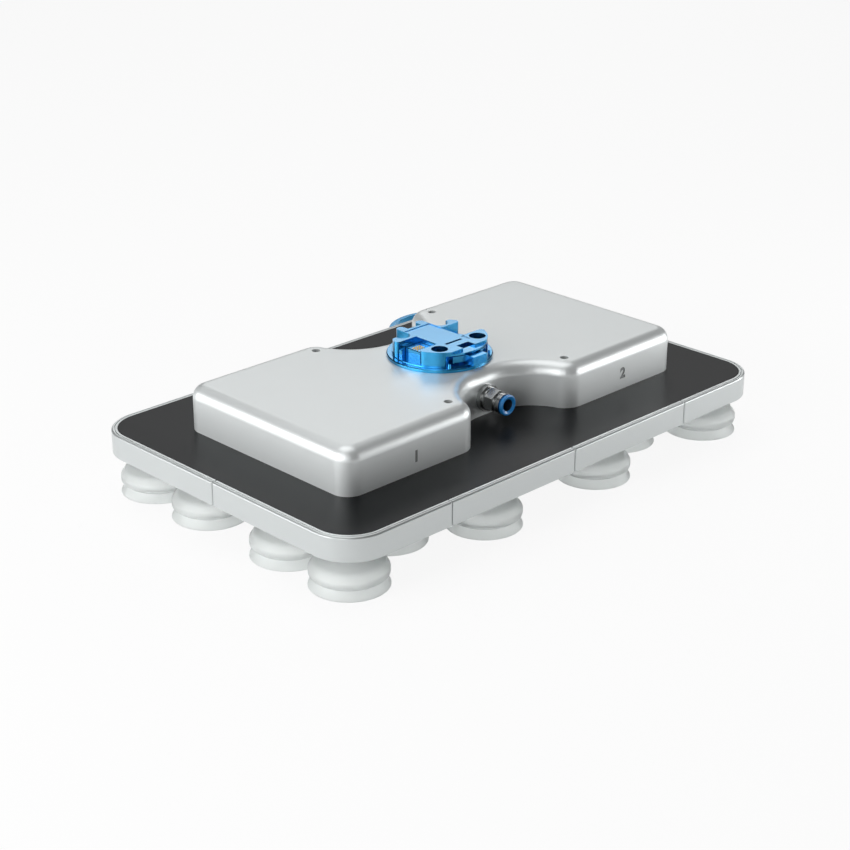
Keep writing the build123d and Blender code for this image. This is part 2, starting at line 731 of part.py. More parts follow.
with BuildPart() as coupling_latch:
    # Curved arms that follow the coupling's wall, hollowed from outside under their top edge
    with BuildSketch(Plane.XY.offset(latch_arm_z)):
        add(arm_outline)
    extrude(amount=latch_arm_height)
    with BuildSketch(Plane.XY.offset(latch_arm_z)):
        add(arm_recess_outline)
    extrude(amount=latch_arm_height - latch_arm_edge, mode=Mode.SUBTRACT)
    # Push tab
    with BuildSketch(Plane.XY.offset(latch_bottom_z)):
        with Locations((0, latch_tab_front_y + latch_rib_depth)):
            Rectangle(latch_tab_width, -latch_arm_inner_radius - latch_tab_front_y - latch_rib_depth,
                      align=(Align.CENTER, Align.MIN))
    extrude(amount=latch_tab_height)
    # Grip ribs on the tab's face
    with BuildSketch(Plane.XZ.offset(-latch_tab_front_y)):
        with Locations((0, latch_bottom_z + latch_tab_height / 2)):
            with GridLocations(0, latch_rib_pitch, 1, latch_rib_count):
                Rectangle(latch_tab_width - 2 * latch_rib_depth, latch_rib_thickness)
    extrude(amount=-latch_rib_depth)
    # Neck that runs into the coupling, with the two spring bores in its end
    with BuildSketch(Plane.XY.offset(latch_bottom_z)):
        with Locations((0, latch_neck_back_y)):
            Rectangle(latch_neck_width, latch_arm_outer_radius + latch_neck_back_y,
                      align=(Align.CENTER, Align.MAX))
    extrude(amount=latch_arm_height)
    with BuildSketch(Plane.XZ.offset(-latch_neck_back_y)):
        with Locations(*latch_spring_places):
            Circle(latch_spring_radius + latch_clearance)
    extrude(amount=latch_spring_length - latch_clearance, mode=Mode.SUBTRACT)
finish(coupling_latch, "coupling_latch")

with BuildPart() as latch_springs:
    with BuildSketch(Plane.XZ.offset(-latch_pocket_back_y)):
        with Locations(*latch_spring_places):
            Circle(latch_spring_radius)
            Circle(latch_spring_radius - latch_spring_wire_radius, mode=Mode.SUBTRACT)
    extrude(amount=latch_spring_length)
finish(latch_springs, "latch_springs")


# Air fitting

collar_front_y = -waist_y - fitting_collar_length
step_front_y = collar_front_y - fitting_step_length
hex_front_y = step_front_y - fitting_hex_length
groove_front_y = hex_front_y - fitting_groove_length
fitting_front_y = groove_front_y - fitting_ring_length
collet_bore_radius = collet_sleeve_radius + collet_clearance
grip_ring_y = fitting_front_y + collet_sleeve_length + collet_clearance
seal_ring_y = grip_ring_y + grip_ring_thickness
collet_bore_end_y = seal_ring_y + seal_ring_section
collet_flange_y = fitting_front_y - collet_travel

with BuildPart() as fitting_body:
    # Turned outline, half of it, spun about the air passage
    with BuildSketch(Plane.YZ):
        with BuildLine():
            Polyline((fitting_thread_length - waist_y, fitting_z + air_passage_radius),
                     (fitting_thread_length - waist_y, fitting_z + fitting_thread_radius),
                     (-waist_y, fitting_z + fitting_thread_radius),
                     (-waist_y, fitting_z + fitting_collar_radius),
                     (collar_front_y, fitting_z + fitting_collar_radius),
                     (collar_front_y, fitting_z + fitting_step_radius),
                     (step_front_y, fitting_z + fitting_step_radius),
                     (step_front_y, fitting_z + fitting_groove_radius),
                     (groove_front_y, fitting_z + fitting_groove_radius),
                     (groove_front_y, fitting_z + fitting_ring_radius),
                     (fitting_front_y, fitting_z + fitting_ring_radius),
                     (fitting_front_y, fitting_z + collet_bore_radius),
                     (collet_bore_end_y, fitting_z + collet_bore_radius),
                     (collet_bore_end_y, fitting_z + tube_bore_radius),
                     (fitting_front_y + tube_seat_depth, fitting_z + tube_bore_radius),
                     (fitting_front_y + tube_seat_depth, fitting_z + air_passage_radius),
                     close=True)
        make_face()
    revolve(axis=Axis((0, 0, fitting_z), (0, 1, 0)))
    # Spanner hexagon, left solid only outside the bore
    with BuildSketch(Plane.XZ.offset(-step_front_y)):
        with Locations((0, fitting_z)):
            RegularPolygon(fitting_hex_across_flats / 2, 6, major_radius=False, rotation=30)
            Circle(fitting_groove_radius, mode=Mode.SUBTRACT)
    extrude(amount=fitting_hex_length)
finish(fitting_body, "fitting_body")

with BuildPart() as fitting_collet:
    with BuildSketch(Plane.XZ.offset(-collet_flange_y)):
        with Locations((0, fitting_z)):
            Circle(collet_flange_radius)
    extrude(amount=collet_flange_thickness)
    chamfer(fitting_collet.edges().sort_by(Axis.Y)[0], collet_flange_thickness / 2)
    with BuildSketch(Plane.XZ.offset(-collet_flange_y)):
        with Locations((0, fitting_z)):
            Circle(collet_sleeve_radius)
    extrude(amount=-collet_sleeve_length)
    with BuildSketch(Plane.XZ.offset(-collet_flange_y)):
        with Locations((0, fitting_z)):
            Circle(tube_bore_radius)
    extrude(amount=tube_seat_depth, both=True, mode=Mode.SUBTRACT)
    # Crossed slots that let the sleeve's fingers spring onto the tube
    with BuildSketch(Plane.XZ.offset(-collet_flange_y - collet_sleeve_length)):
        with Locations((0, fitting_z)):
            Rectangle(2 * collet_flange_radius, collet_slot_width)
            Rectangle(collet_slot_width, 2 * collet_flange_radius)
    extrude(amount=collet_slot_length, mode=Mode.SUBTRACT)
finish(fitting_collet, "fitting_collet")

with BuildPart() as fitting_grip_ring:
    with BuildSketch(Plane.XZ.offset(-grip_ring_y)):
        with Locations((0, fitting_z)):
            Circle(collet_bore_radius)
            Circle(tube_bore_radius + tube_clearance, mode=Mode.SUBTRACT)
    extrude(amount=-grip_ring_thickness)
finish(fitting_grip_ring, "fitting_grip_ring")

with BuildPart() as fitting_seal_ring:
    with BuildSketch(Plane.XZ.offset(-seal_ring_y)):
        with Locations((0, fitting_z)):
            Circle(collet_bore_radius)
            Circle(tube_bore_radius + tube_clearance, mode=Mode.SUBTRACT)
    extrude(amount=-seal_ring_section)
finish(fitting_seal_ring, "fitting_seal_ring")


# Suction cups

def cup_group(points, name):
    """One soft ring per cup place, spun from the outline given as radius and height."""
    with BuildPart() as cup:
        with BuildSketch(Plane.XZ):
            with BuildLine():
                Polyline(*points, close=True)
            make_face()
        revolve(axis=Axis.Z)
    with BuildPart() as group:
        for x, y in cup_places:
            add(cup.part.moved(Location((x, y, 0))))
    finish(group, name)


fold_bottom_z = cup_split_z + cup_fold_to_notch
fold_top_z = fold_bottom_z + cup_fold_height
dome_z = fold_top_z + cup_dome_height
shoulder_top_z = fold_top_z + cup_shoulder_height
dish_top_z = cup_lip_z + cup_dish_depth

with BuildPart() as cup_stems:
    with BuildSketch(Plane.XY.offset(bottom_face_z)):
        with Locations(*cup_places):
            RegularPolygon(stem_hex_across_flats / 2, 6, major_radius=False)
    extrude(amount=-stem_hex_height)
    with BuildSketch(Plane.XY.offset(cup_top_z)):
        with Locations(*cup_places):
            Circle(stem_barb_radius)
    extrude(amount=-stem_barb_length)
    with BuildSketch(Plane.XY.offset(bottom_face_z)):
        with Locations(*cup_places):
            Circle(stem_thread_radius)
    extrude(amount=bottom_plate_thickness)
    with BuildSketch(Plane.XY.offset(bottom_plate_top_z)):
        with Locations(*cup_places):
            Circle(stem_bore_radius)
    extrude(amount=-bottom_plate_thickness - stem_hex_height - stem_barb_length, mode=Mode.SUBTRACT)
finish(cup_stems, "cup_stems")

cup_group([(cup_bore_radius, cup_top_z), (cup_neck_radius, cup_top_z), (cup_neck_radius, shoulder_top_z),
           (cup_dome_radius, dome_z), (cup_fold_radius, fold_top_z), (cup_fold_radius, fold_bottom_z),
           (cup_notch_radius, cup_split_z), (cup_bore_radius, cup_split_z)], "cup_bellows")

cup_group([(cup_bore_radius, cup_split_z), (cup_notch_radius, cup_split_z), (cup_radius, cup_lip_z),
           (cup_dish_radius, cup_lip_z), (cup_dish_inner_radius, dish_top_z), (cup_bore_radius, dish_top_z)],
          "cup_lips")


# Blue loop

with BuildPart() as rear_loop:
    with BuildSketch(Plane.XY.offset(loop_z - loop_height / 2)):
        with Locations((loop_centre_x, loop_centre_y)):
            Circle(loop_outer_radius)
            Circle(loop_outer_radius - loop_thickness, mode=Mode.SUBTRACT)
        with Locations((loop_centre_x, back_face_y)):
            Rectangle(2 * loop_outer_radius, 2 * loop_outer_radius, align=(Align.CENTER, Align.MAX),
                      mode=Mode.SUBTRACT)
        with Locations((loop_centre_x - loop_foot_x, back_face_y),
                       (loop_centre_x + loop_foot_x, back_face_y)):
            Rectangle(loop_foot_length, loop_foot_thickness, align=(Align.CENTER, Align.MIN))
    extrude(amount=loop_height)
    with BuildSketch(Plane.XZ.offset(-back_face_y)):
        with Locations((loop_centre_x - loop_foot_x, loop_z), (loop_centre_x + loop_foot_x, loop_z)):
            Circle(loop_screw_radius + thread_clearance)
    extrude(amount=-loop_foot_thickness, mode=Mode.SUBTRACT)
finish(rear_loop, "rear_loop")

with BuildPart() as loop_screws:
    with BuildSketch(Plane.XZ.offset(-back_face_y - loop_foot_thickness)):
        with Locations((loop_centre_x - loop_foot_x, loop_z), (loop_centre_x + loop_foot_x, loop_z)):
            Circle(loop_screw_head_radius)
    extrude(amount=-loop_screw_head_height)
    with BuildSketch(Plane.XZ.offset(-back_face_y - loop_foot_thickness)):
        with Locations((loop_centre_x - loop_foot_x, loop_z), (loop_centre_x + loop_foot_x, loop_z)):
            Circle(loop_screw_radius)
    extrude(amount=loop_screw_length)
finish(loop_screws, "loop_screws")


# Inner works

manifold_front_y = housing_wall - waist_y
manifold_width = manifold_back_y - manifold_front_y
manifold_height = housing_inner_top_z - plate_top_z

with BuildPart() as manifold_block:
    with BuildSketch(Plane.XY.offset(plate_top_z)):
        with Locations((0, manifold_front_y)):
            Rectangle(manifold_length, manifold_width, align=(Align.CENTER, Align.MIN))
    extrude(amount=manifold_height)
    front_edges = manifold_block.faces().sort_by(Axis.Y)[0].edges().filter_by(Axis.X)
    chamfer(front_edges.sort_by(Axis.Z)[-1], housing_edge_radius - housing_wall)
    chamfer(front_edges.sort_by(Axis.Z)[0], manifold_foot_chamfer)
    with BuildSketch(Plane.XY.offset(housing_inner_top_z)):
        with PolarLocations(well_circle_radius, 4, start_angle=45):
            Circle(coupling_screw_shank_radius + thread_clearance)
    extrude(amount=well_floor_z - coupling_screw_length - thread_clearance - housing_inner_top_z,
            mode=Mode.SUBTRACT)
    with BuildSketch(Plane.XZ.offset(-manifold_front_y)):
        with Locations((0, fitting_z)):
            Circle(fitting_thread_radius + thread_clearance)
    extrude(amount=-fitting_thread_length, mode=Mode.SUBTRACT)
    with BuildSketch(Plane.XZ.offset(-manifold_front_y)):
        with Locations((0, fitting_z)):
            Circle(air_passage_radius)
    extrude(amount=manifold_front_y, mode=Mode.SUBTRACT)
    with BuildSketch(Plane.YZ):
        with Locations((0, fitting_z)):
            Circle(cross_passage_radius)
    extrude(amount=manifold_length / 2, both=True, mode=Mode.SUBTRACT)
finish(manifold_block, "manifold_block")

ejector_centre_x = (manifold_length + ejector_block_length) / 2
ejector_front_y = -ejector_block_width / 2
nozzle_z = plate_top_z + ejector_block_height / 2
nozzle_places = [
    (side * ejector_centre_x + offset * nozzle_spacing / 2, nozzle_z)
    for side in (-1, 1)
    for offset in (-1, 1)
]

for side, side_name in ((-1, "left"), (1, "right")):
    with BuildPart() as ejector_block:
        with BuildSketch(Plane.XY.offset(plate_top_z)):
            with Locations((side * ejector_centre_x, 0)):
                Rectangle(ejector_block_length, ejector_block_width)
        extrude(amount=ejector_block_height)
        with BuildSketch(Plane.XZ.offset(-ejector_front_y)):
            with Locations(*nozzle_places):
                Circle(nozzle_radius)
        extrude(amount=-nozzle_length, mode=Mode.SUBTRACT)
        with BuildSketch(Plane.XY.offset(plate_top_z)):
            with Locations(*vacuum_port_places):
                Circle(vacuum_port_radius)
        extrude(amount=ejector_block_height / 2, mode=Mode.SUBTRACT)
    finish(ejector_block, f"ejector_block_{side_name}")

with BuildPart() as nozzle:
    inlet_y = ejector_front_y + nozzle_inlet_length
    throat_y = inlet_y + nozzle_throat_length
    end_y = ejector_front_y + nozzle_length
    with BuildSketch(Plane.YZ):
        with BuildLine():
            Polyline((ejector_front_y, nozzle_z + nozzle_mouth_radius),
                     (ejector_front_y, nozzle_z + nozzle_radius),
                     (end_y, nozzle_z + nozzle_radius),
                     (end_y, nozzle_z + nozzle_mouth_radius),
                     (throat_y, nozzle_z + nozzle_throat_radius),
                     (inlet_y, nozzle_z + nozzle_throat_radius),
                     close=True)
        make_face()
    revolve(axis=Axis((0, 0, nozzle_z), (0, 1, 0)))

with BuildPart() as ejector_nozzles:
    for x, z in nozzle_places:
        add(nozzle.part.moved(Location((x, 0, 0))))
finish(ejector_nozzles, "ejector_nozzles")

valve_start_x = manifold_length / 2 + ejector_block_length + valve_gap

with BuildPart() as solenoid_valves:
    for side in (-1, 1):
        with BuildSketch(Plane.XY.offset(plate_top_z)):
            with Locations((side * (valve_start_x + valve_body_length / 2), 0)):
                with GridLocations(0, valve_spacing, 1, 2):
                    Rectangle(valve_body_length, valve_width)
        extrude(amount=valve_height)
        with BuildSketch(Plane.YZ.offset(side * (valve_start_x + valve_body_length))):
            with Locations((-valve_spacing / 2, plate_top_z + valve_height / 2),
                           (valve_spacing / 2, plate_top_z + valve_height / 2)):
                Circle(valve_coil_radius)
        extrude(amount=side * valve_coil_length)
finish(solenoid_valves, "solenoid_valves")

with BuildPart() as vacuum_sensors:
    with BuildSketch(Plane.XY.offset(plate_top_z)):
        with GridLocations(2 * sensor_x, sensor_spacing_y, 2, 2):
            Rectangle(sensor_size, sensor_size)
    extrude(amount=sensor_height)
    with BuildSketch(Plane.XY.offset(plate_top_z + sensor_height)):
        with GridLocations(2 * sensor_x, sensor_spacing_y, 2, 2):
            Circle(sensor_port_radius)
    extrude(amount=sensor_port_height)
finish(vacuum_sensors, "vacuum_sensors")

standoff_spacing_x = board_length - 2 * standoff_inset
standoff_spacing_y = board_width - 2 * standoff_inset

with BuildPart() as board_standoffs:
    with BuildSketch(Plane.XY.offset(plate_top_z)):
        with Locations((board_centre_x, 0)):
            with GridLocations(standoff_spacing_x, standoff_spacing_y, 2, 2):
                RegularPolygon(standoff_radius, 6)
    extrude(amount=board_height)
finish(board_standoffs, "board_standoffs")

with BuildPart() as circuit_board:
    with BuildSketch(Plane.XY.offset(plate_top_z + board_height)):
        with Locations((board_centre_x, 0)):
            RectangleRounded(board_length, board_width, board_corner_radius)
    extrude(amount=board_thickness)
finish(circuit_board, "circuit_board")

with BuildPart() as silencers:
    with BuildSketch(Plane.XZ.offset(-manifold_back_y)):
        with Locations((-silencer_spacing / 2, fitting_z), (silencer_spacing / 2, fitting_z)):
            Circle(silencer_radius)
    extrude(amount=manifold_back_y - waist_y - silencer_rise)
    fillet(silencers.edges().group_by(Axis.Y)[-1], silencer_edge)
finish(silencers, "silencers")
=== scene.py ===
import json
import math

import bmesh
import bpy
from mathutils import Matrix, Vector


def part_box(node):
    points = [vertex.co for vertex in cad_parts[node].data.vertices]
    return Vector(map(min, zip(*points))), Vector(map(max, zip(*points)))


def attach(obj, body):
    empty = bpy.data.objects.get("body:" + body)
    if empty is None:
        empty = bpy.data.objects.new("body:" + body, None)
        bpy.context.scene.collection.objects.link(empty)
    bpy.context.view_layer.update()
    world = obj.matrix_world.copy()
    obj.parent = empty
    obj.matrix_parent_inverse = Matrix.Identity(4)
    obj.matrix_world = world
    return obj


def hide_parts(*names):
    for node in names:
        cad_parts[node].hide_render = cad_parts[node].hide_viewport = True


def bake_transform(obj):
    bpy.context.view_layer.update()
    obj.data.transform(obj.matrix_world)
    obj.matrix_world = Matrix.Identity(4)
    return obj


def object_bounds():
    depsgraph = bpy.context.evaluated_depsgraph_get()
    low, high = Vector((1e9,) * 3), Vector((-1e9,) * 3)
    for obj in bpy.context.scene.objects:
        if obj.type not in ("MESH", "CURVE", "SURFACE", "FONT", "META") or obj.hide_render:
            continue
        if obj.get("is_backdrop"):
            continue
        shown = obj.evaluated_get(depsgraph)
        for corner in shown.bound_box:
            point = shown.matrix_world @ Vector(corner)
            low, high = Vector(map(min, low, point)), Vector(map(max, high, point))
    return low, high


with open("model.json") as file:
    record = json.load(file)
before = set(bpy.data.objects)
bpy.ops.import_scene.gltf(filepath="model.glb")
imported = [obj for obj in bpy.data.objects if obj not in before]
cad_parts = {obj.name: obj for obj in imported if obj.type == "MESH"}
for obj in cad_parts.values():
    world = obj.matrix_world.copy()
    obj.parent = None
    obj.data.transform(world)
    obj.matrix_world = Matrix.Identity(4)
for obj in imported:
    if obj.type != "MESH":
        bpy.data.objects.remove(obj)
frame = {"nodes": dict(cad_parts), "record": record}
cad_low, cad_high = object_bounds()

MM = 0.001
WELD = 0.001 * MM        # points nearer than this are joined
ROUND_STEPS = 48         # points round a small turned piece
FINE_STEPS = 96          # points round a cup or the collet
PIN_STEPS = 16           # points round a contact pin
CRISP_ANGLE = 35         # degrees; a sharper edge keeps its crease
SOFT_ANGLE = 60          # the same on springs and cups
UP = (0, 0, 1)
DOWN = (0, 0, -1)
FRONT = (0, -1, 0)
BACK = (0, 1, 0)


# Materials

def plain_material(name):
    """A new material, as itself, its nodes and its links; it has one Principled shader."""
    mat = bpy.data.materials.new(name)
    mat.use_nodes = True
    return mat, mat.node_tree.nodes, mat.node_tree.links


FINE_DETAIL = 3          # octaves of the fine grain
BROAD_DETAIL = 2         # octaves of the broad patches
BROAD_RATIO = 60         # how many times broader than the grain they are


def surface(name, colour, roughness, grain, tone, metallic=0.0, rough_shift=0.04, bump=0.05,
            bump_depth=0.03 * MM, stretch=(1, 1, 1), **sockets):
    """A finish whose roughness and relief follow a fine grain and whose colour a broad one.

    grain is the fine noise's scale, per metre. tone is the share by which the colour goes down
    and up, and rough_shift is how far the roughness does. Any further argument is a socket of
    the shader."""
    mat, nodes, links = plain_material(name)
    shader = nodes["Principled BSDF"]
    shader.inputs["Metallic"].default_value = metallic
    for socket, value in sockets.items():
        shader.inputs[socket.replace("_", " ")].default_value = value
    coords = nodes.new("ShaderNodeTexCoord")
    mapping = nodes.new("ShaderNodeMapping")
    mapping.inputs["Scale"].default_value = stretch
    links.new(coords.outputs["Object"], mapping.inputs["Vector"])
    fine = nodes.new("ShaderNodeTexNoise")
    fine.inputs["Scale"].default_value = grain
    fine.inputs["Detail"].default_value = FINE_DETAIL
    broad = nodes.new("ShaderNodeTexNoise")
    broad.inputs["Scale"].default_value = grain / BROAD_RATIO
    broad.inputs["Detail"].default_value = BROAD_DETAIL
    for noise in (fine, broad):
        links.new(mapping.outputs["Vector"], noise.inputs["Vector"])
    mix = nodes.new("ShaderNodeMix")
    mix.data_type = "RGBA"
    mix.inputs["A"].default_value = [c * (1 - tone) for c in colour] + [1]
    mix.inputs["B"].default_value = [min(c * (1 + tone), 1) for c in colour] + [1]
    links.new(broad.outputs["Fac"], mix.inputs["Factor"])
    links.new(mix.outputs["Result"], shader.inputs["Base Color"])
    spread = nodes.new("ShaderNodeMapRange")
    spread.inputs["To Min"].default_value = roughness - rough_shift
    spread.inputs["To Max"].default_value = roughness + rough_shift
    links.new(fine.outputs["Fac"], spread.inputs["Value"])
    links.new(spread.outputs["Result"], shader.inputs["Roughness"])
    relief = nodes.new("ShaderNodeBump")
    relief.inputs["Strength"].default_value = bump
    relief.inputs["Distance"].default_value = bump_depth
    links.new(fine.outputs["Fac"], relief.inputs["Height"])
    links.new(relief.outputs["Normal"], shader.inputs["Normal"])
    return mat


SILVER_PAINT = surface("silver_paint", (0.77, 0.80, 0.80), 0.41, metallic=0.6, grain=2600,
                       tone=0.01, bump=0.08)
# painted shade: a darker finish on the walls and floors of the engraved numerals, where shade falls
ENGRAVING_SHADE = surface("engraved_painted_shade", (0.30, 0.31, 0.31), 0.50, metallic=0.4, grain=2600,
                    tone=0.02)
SILVER_RIM = surface("silver_rim", (0.65, 0.68, 0.68), 0.31, metallic=0.75, grain=2200,
                     tone=0.012, rough_shift=0.02, bump=0.02)
BLACK_SHEET = surface("black_sheet", (0.005, 0.006, 0.007), 0.36, grain=3000, tone=0.10,
                      bump=0.06, Specular_IOR_Level=0.15)
BLUE = surface("blue_anodised", (0.015, 0.34, 0.68), 0.24, metallic=1.0, grain=1800, tone=0.03,
               rough_shift=0.015, bump=0.01, Coat_Weight=1.0, Coat_Roughness=0.15)
BLUE_COLLET = surface("blue_collet", (0.02, 0.24, 0.62), 0.26, grain=1500, tone=0.04,
                      Coat_Weight=0.4, Coat_Roughness=0.1)
# painted shade: a dark finish for the inside of the collet's bore, which its depth keeps in shade
BORE_PAINTED_SHADE = surface("bore_painted_shade", (0.01, 0.02, 0.035), 0.55, grain=1500, tone=0.10)
GOLD = surface("contact_gold", (0.80, 0.46, 0.08), 0.30, metallic=1.0, grain=4000, tone=0.08)
FITTING = surface("fitting_nickel", (0.46, 0.47, 0.47), 0.26, metallic=1.0, grain=3000,
                  tone=0.02, rough_shift=0.02, bump=0.02, stretch=(1, 6, 1))
DARK_STEEL = surface("screw_steel", (0.14, 0.14, 0.145), 0.36, metallic=0.9, grain=4000,
                     tone=0.10)
PLATE_METAL = surface("plate_metal", (0.50, 0.51, 0.52), 0.42, metallic=0.8, grain=1800,
                      tone=0.03, stretch=(1, 0.05, 1))
FRAME_PLASTIC = surface("frame_plastic", (0.05, 0.05, 0.053), 0.55, grain=1500, tone=0.08)
BLOCK_METAL = surface("block_metal", (0.60, 0.61, 0.62), 0.40, metallic=0.9, grain=1500,
                      tone=0.04, stretch=(0.1, 1, 1))
BRASS = surface("brass", (0.62, 0.46, 0.20), 0.36, metallic=1.0, grain=3000, tone=0.06)
SINTERED = surface("sintered_bronze", (0.52, 0.38, 0.18), 0.50, metallic=0.9, grain=2200,
                   tone=0.25, bump=0.9, bump_depth=0.15 * MM)
STEM_METAL = surface("stem_metal", (0.60, 0.61, 0.62), 0.30, metallic=1.0, grain=3000, tone=0.04)
SEAL_RUBBER = surface("seal_rubber", (0.02, 0.02, 0.02), 0.62, grain=2500, tone=0.10, bump=0.2)
VALVE_PLASTIC = surface("valve_plastic", (0.03, 0.03, 0.033), 0.45, grain=2000, tone=0.08)
BOARD = surface("circuit_board", (0.02, 0.14, 0.06), 0.40, grain=700, tone=0.15, Coat_Weight=0.3)
CUP = surface("cup_silicone", (0.93, 0.965, 0.955), 0.48, grain=1400, tone=0.01, bump=0.05,
              IOR=1.41, Transmission_Weight=0.7, Subsurface_Weight=0.5,
              Subsurface_Radius=(1, 1, 1), Subsurface_Scale=4 * MM)


# Mesh helpers

FLAT_ANGLE = 0.5         # degrees; flatter seams between a CAD node's triangles are dissolved
HARD_ANGLE = 30          # degrees; a CAD edge sharper than this gets a round
ROUND_SEGMENTS = 2       # faces across such a round
FINE_EDGE = 0.2 * MM     # width of the rounds on the plate's rim and sheet
PAINTED_EDGE = 0.25 * MM  # their width on the housing
BROKEN_EDGE = 0.3 * MM   # their width on the other pieces
NORMAL_WEIGHT = 80       # how far large faces rule the normals of small ones
SORT_DIGITS = 5          # solids this alike in x, to 0.01 mm, are sorted by y
MOST_OF_SIDE = 0.48      # share of an outline's side that one rounded corner may take
CORNER_STEPS = 4         # pieces of a rounded corner


def link(name, mesh, material):
    """An object for a finished mesh, in the scene, with its one material."""
    piece = bpy.data.objects.new(name, mesh)
    bpy.context.scene.collection.objects.link(piece)
    mesh.materials.clear()
    mesh.materials.append(material)
    return piece


def shade(piece, angle=CRISP_ANGLE):
    """Smooth shading, crisp across edges sharper than the angle and even across flats."""
    limit = math.radians(angle)
    mesh = piece.data
    form = bmesh.new()
    form.from_mesh(mesh)
    for face in form.faces:
        face.smooth = True
    for edge in form.edges:
        edge.smooth = len(edge.link_faces) == 2 and edge.calc_face_angle(0) < limit
    form.to_mesh(mesh)
    form.free()
    even = piece.modifiers.new("even_normals", "WEIGHTED_NORMAL")
    even.keep_sharp = True
    even.weight = NORMAL_WEIGHT


def stand_for(piece, node):
    """Let a piece ride with a node's body and take the node's place."""
    bodies = frame["record"]["behaviour"]["bodies"]
    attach(piece, next(body for body, nodes in bodies.items() if node in nodes))
    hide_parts(node)


def welded_form(node):
    """A node's triangles as one editable form, with their shared points joined."""
    form = bmesh.new()
    form.from_mesh(frame["nodes"][node].data)
    bmesh.ops.remove_doubles(form, verts=form.verts, dist=WELD)
    return form


def dressed(node, material, width):
    """The CAD node's own form with every hard edge broken by a small round of that width."""
    form = welded_form(node)
    bmesh.ops.dissolve_limit(form, angle_limit=math.radians(FLAT_ANGLE), verts=form.verts,
                             edges=form.edges)
    hard = [edge for edge in form.edges
            if len(edge.link_faces) == 2 and edge.calc_face_angle(0) > math.radians(HARD_ANGLE)]
    bmesh.ops.bevel(form, geom=hard, offset=width, segments=ROUND_SEGMENTS, profile=0.5,
                    affect="EDGES", clamp_overlap=True)
    mesh = bpy.data.meshes.new(node + "_form")
    form.to_mesh(mesh)
    form.free()
    piece = link(node + "_dressed", mesh, material)
    shade(piece)
    stand_for(piece, node)
    return piece


def islands(node):
    """The box of each solid of a node, as low and high corners, from left to right."""
    form = welded_form(node)
    left = set(form.verts)
    boxes = []
    while left:
        reached = [left.pop()]
        for vert in reached:
            for edge in vert.link_edges:
                other = edge.other_vert(vert)
                if other in left:
                    left.remove(other)
                    reached.append(other)
        places = [vert.co for vert in reached]
        low = Vector([min(p[k] for p in places) for k in range(3)])
        high = Vector([max(p[k] for p in places) for k in range(3)])
        boxes.append((low, high))
    form.free()
    boxes.sort(key=lambda pair: (round(pair[0].x, SORT_DIGITS), round(pair[0].y, SORT_DIGITS)))
    return boxes


def end_of(low, high, axis):
    """The middle of the side of a box that faces along an axis, and the box's length along it."""
    along = next(k for k in range(3) if axis[k])
    place = [(low[k] + high[k]) / 2 for k in range(3)]
    place[along] = high[along] if axis[along] > 0 else low[along]
    return place, high[along] - low[along]


def rings_mesh(name, rings, closed=False):
    """A mesh skinned over rings of equal length, with capped ends unless the rings close up."""
    form = bmesh.new()
    rows = [[form.verts.new(point) for point in ring] for ring in rings]
    count = len(rows[0])
    pairs = list(zip(rows, rows[1:]))
    if closed:
        pairs.append((rows[-1], rows[0]))
    for low, high in pairs:
        for k in range(count):
            following = (k + 1) % count
            form.faces.new((low[k], low[following], high[following], high[k]))
    if not closed:
        form.faces.new(list(reversed(rows[0])))
        form.faces.new(rows[-1])
    bmesh.ops.recalc_face_normals(form, faces=form.faces)
    mesh = bpy.data.meshes.new(name)
    form.to_mesh(mesh)
    form.free()
    return mesh


def circle(radius, height, steps=ROUND_STEPS):
    """A ring of points about the z axis."""
    turns = [2 * math.pi * k / steps for k in range(steps)]
    return [Vector((radius * math.cos(turn), radius * math.sin(turn), height)) for turn in turns]


def hexagon(flats, height):
    """A ring of points that follows a hexagon of that width across its flats."""
    points = []
    for k in range(ROUND_STEPS):
        turn = 2 * math.pi * k / ROUND_STEPS
        off_flat = (turn + math.pi / 6) % (math.pi / 3) - math.pi / 6
        radius = flats / 2 / math.cos(off_flat)
        points.append(Vector((radius * math.cos(turn), radius * math.sin(turn), height)))
    return points


def placed(rings, place, axis):
    """Rings about the z axis, moved so that their origin and z axis lie at place and axis."""
    turn = Vector(UP).rotation_difference(Vector(axis)).to_matrix().to_4x4()
    move = Matrix.Translation(place) @ turn
    return [[move @ point for point in ring] for ring in rings]


def rounded(corners):
    """The closed outline (radius, height, rounding) with a curve of its rounding at each corner."""
    outline = []
    count = len(corners)
    for k, (r, z, radius) in enumerate(corners):
        here = Vector((r, z))
        if radius <= 0:
            outline.append(here)
            continue
        before = Vector(corners[k - 1][:2]) - here
        after = Vector(corners[(k + 1) % count][:2]) - here
        half = before.angle(after) / 2
        reach = min(radius / math.tan(half), MOST_OF_SIDE * before.length,
                    MOST_OF_SIDE * after.length)
        start = here + before.normalized() * reach
        end = here + after.normalized() * reach
        for step in range(CORNER_STEPS + 1):
            t = step / CORNER_STEPS
            outline.append(start.lerp(here, t).lerp(here.lerp(end, t), t))
    return outline


def skinned(name, rings, material, node, angle=CRISP_ANGLE, closed=False):
    """A piece skinned over rings, which stands for a node or for one solid of it."""
    piece = link(name, rings_mesh(name, rings, closed), material)
    shade(piece, angle)
    stand_for(piece, node)
    return piece


# Plate and rim

for node in sorted(frame["nodes"]):
    if node.startswith("rim_"):
        dressed(node, SILVER_RIM, FINE_EDGE)

dressed("top_sheet", BLACK_SHEET, FINE_EDGE)
dressed("bottom_plate", PLATE_METAL, BROKEN_EDGE)
dressed("cup_stems", STEM_METAL, BROKEN_EDGE)


# Housing with its two engraved numerals

NUMERAL_HEIGHT = 8.0 * MM
NUMERAL_DEPTH = 0.45 * MM
NUMERAL_STROKE = 0.05    # how much bolder than the plain typeface, in its own units
NUMERAL_CURVE_STEPS = 3
NUMERALS = {             # the middle's x and the foot's z of each numeral
    "1": (-96.5 * MM, -36.2 * MM),
    "2": (98.5 * MM, -35.4 * MM),
}


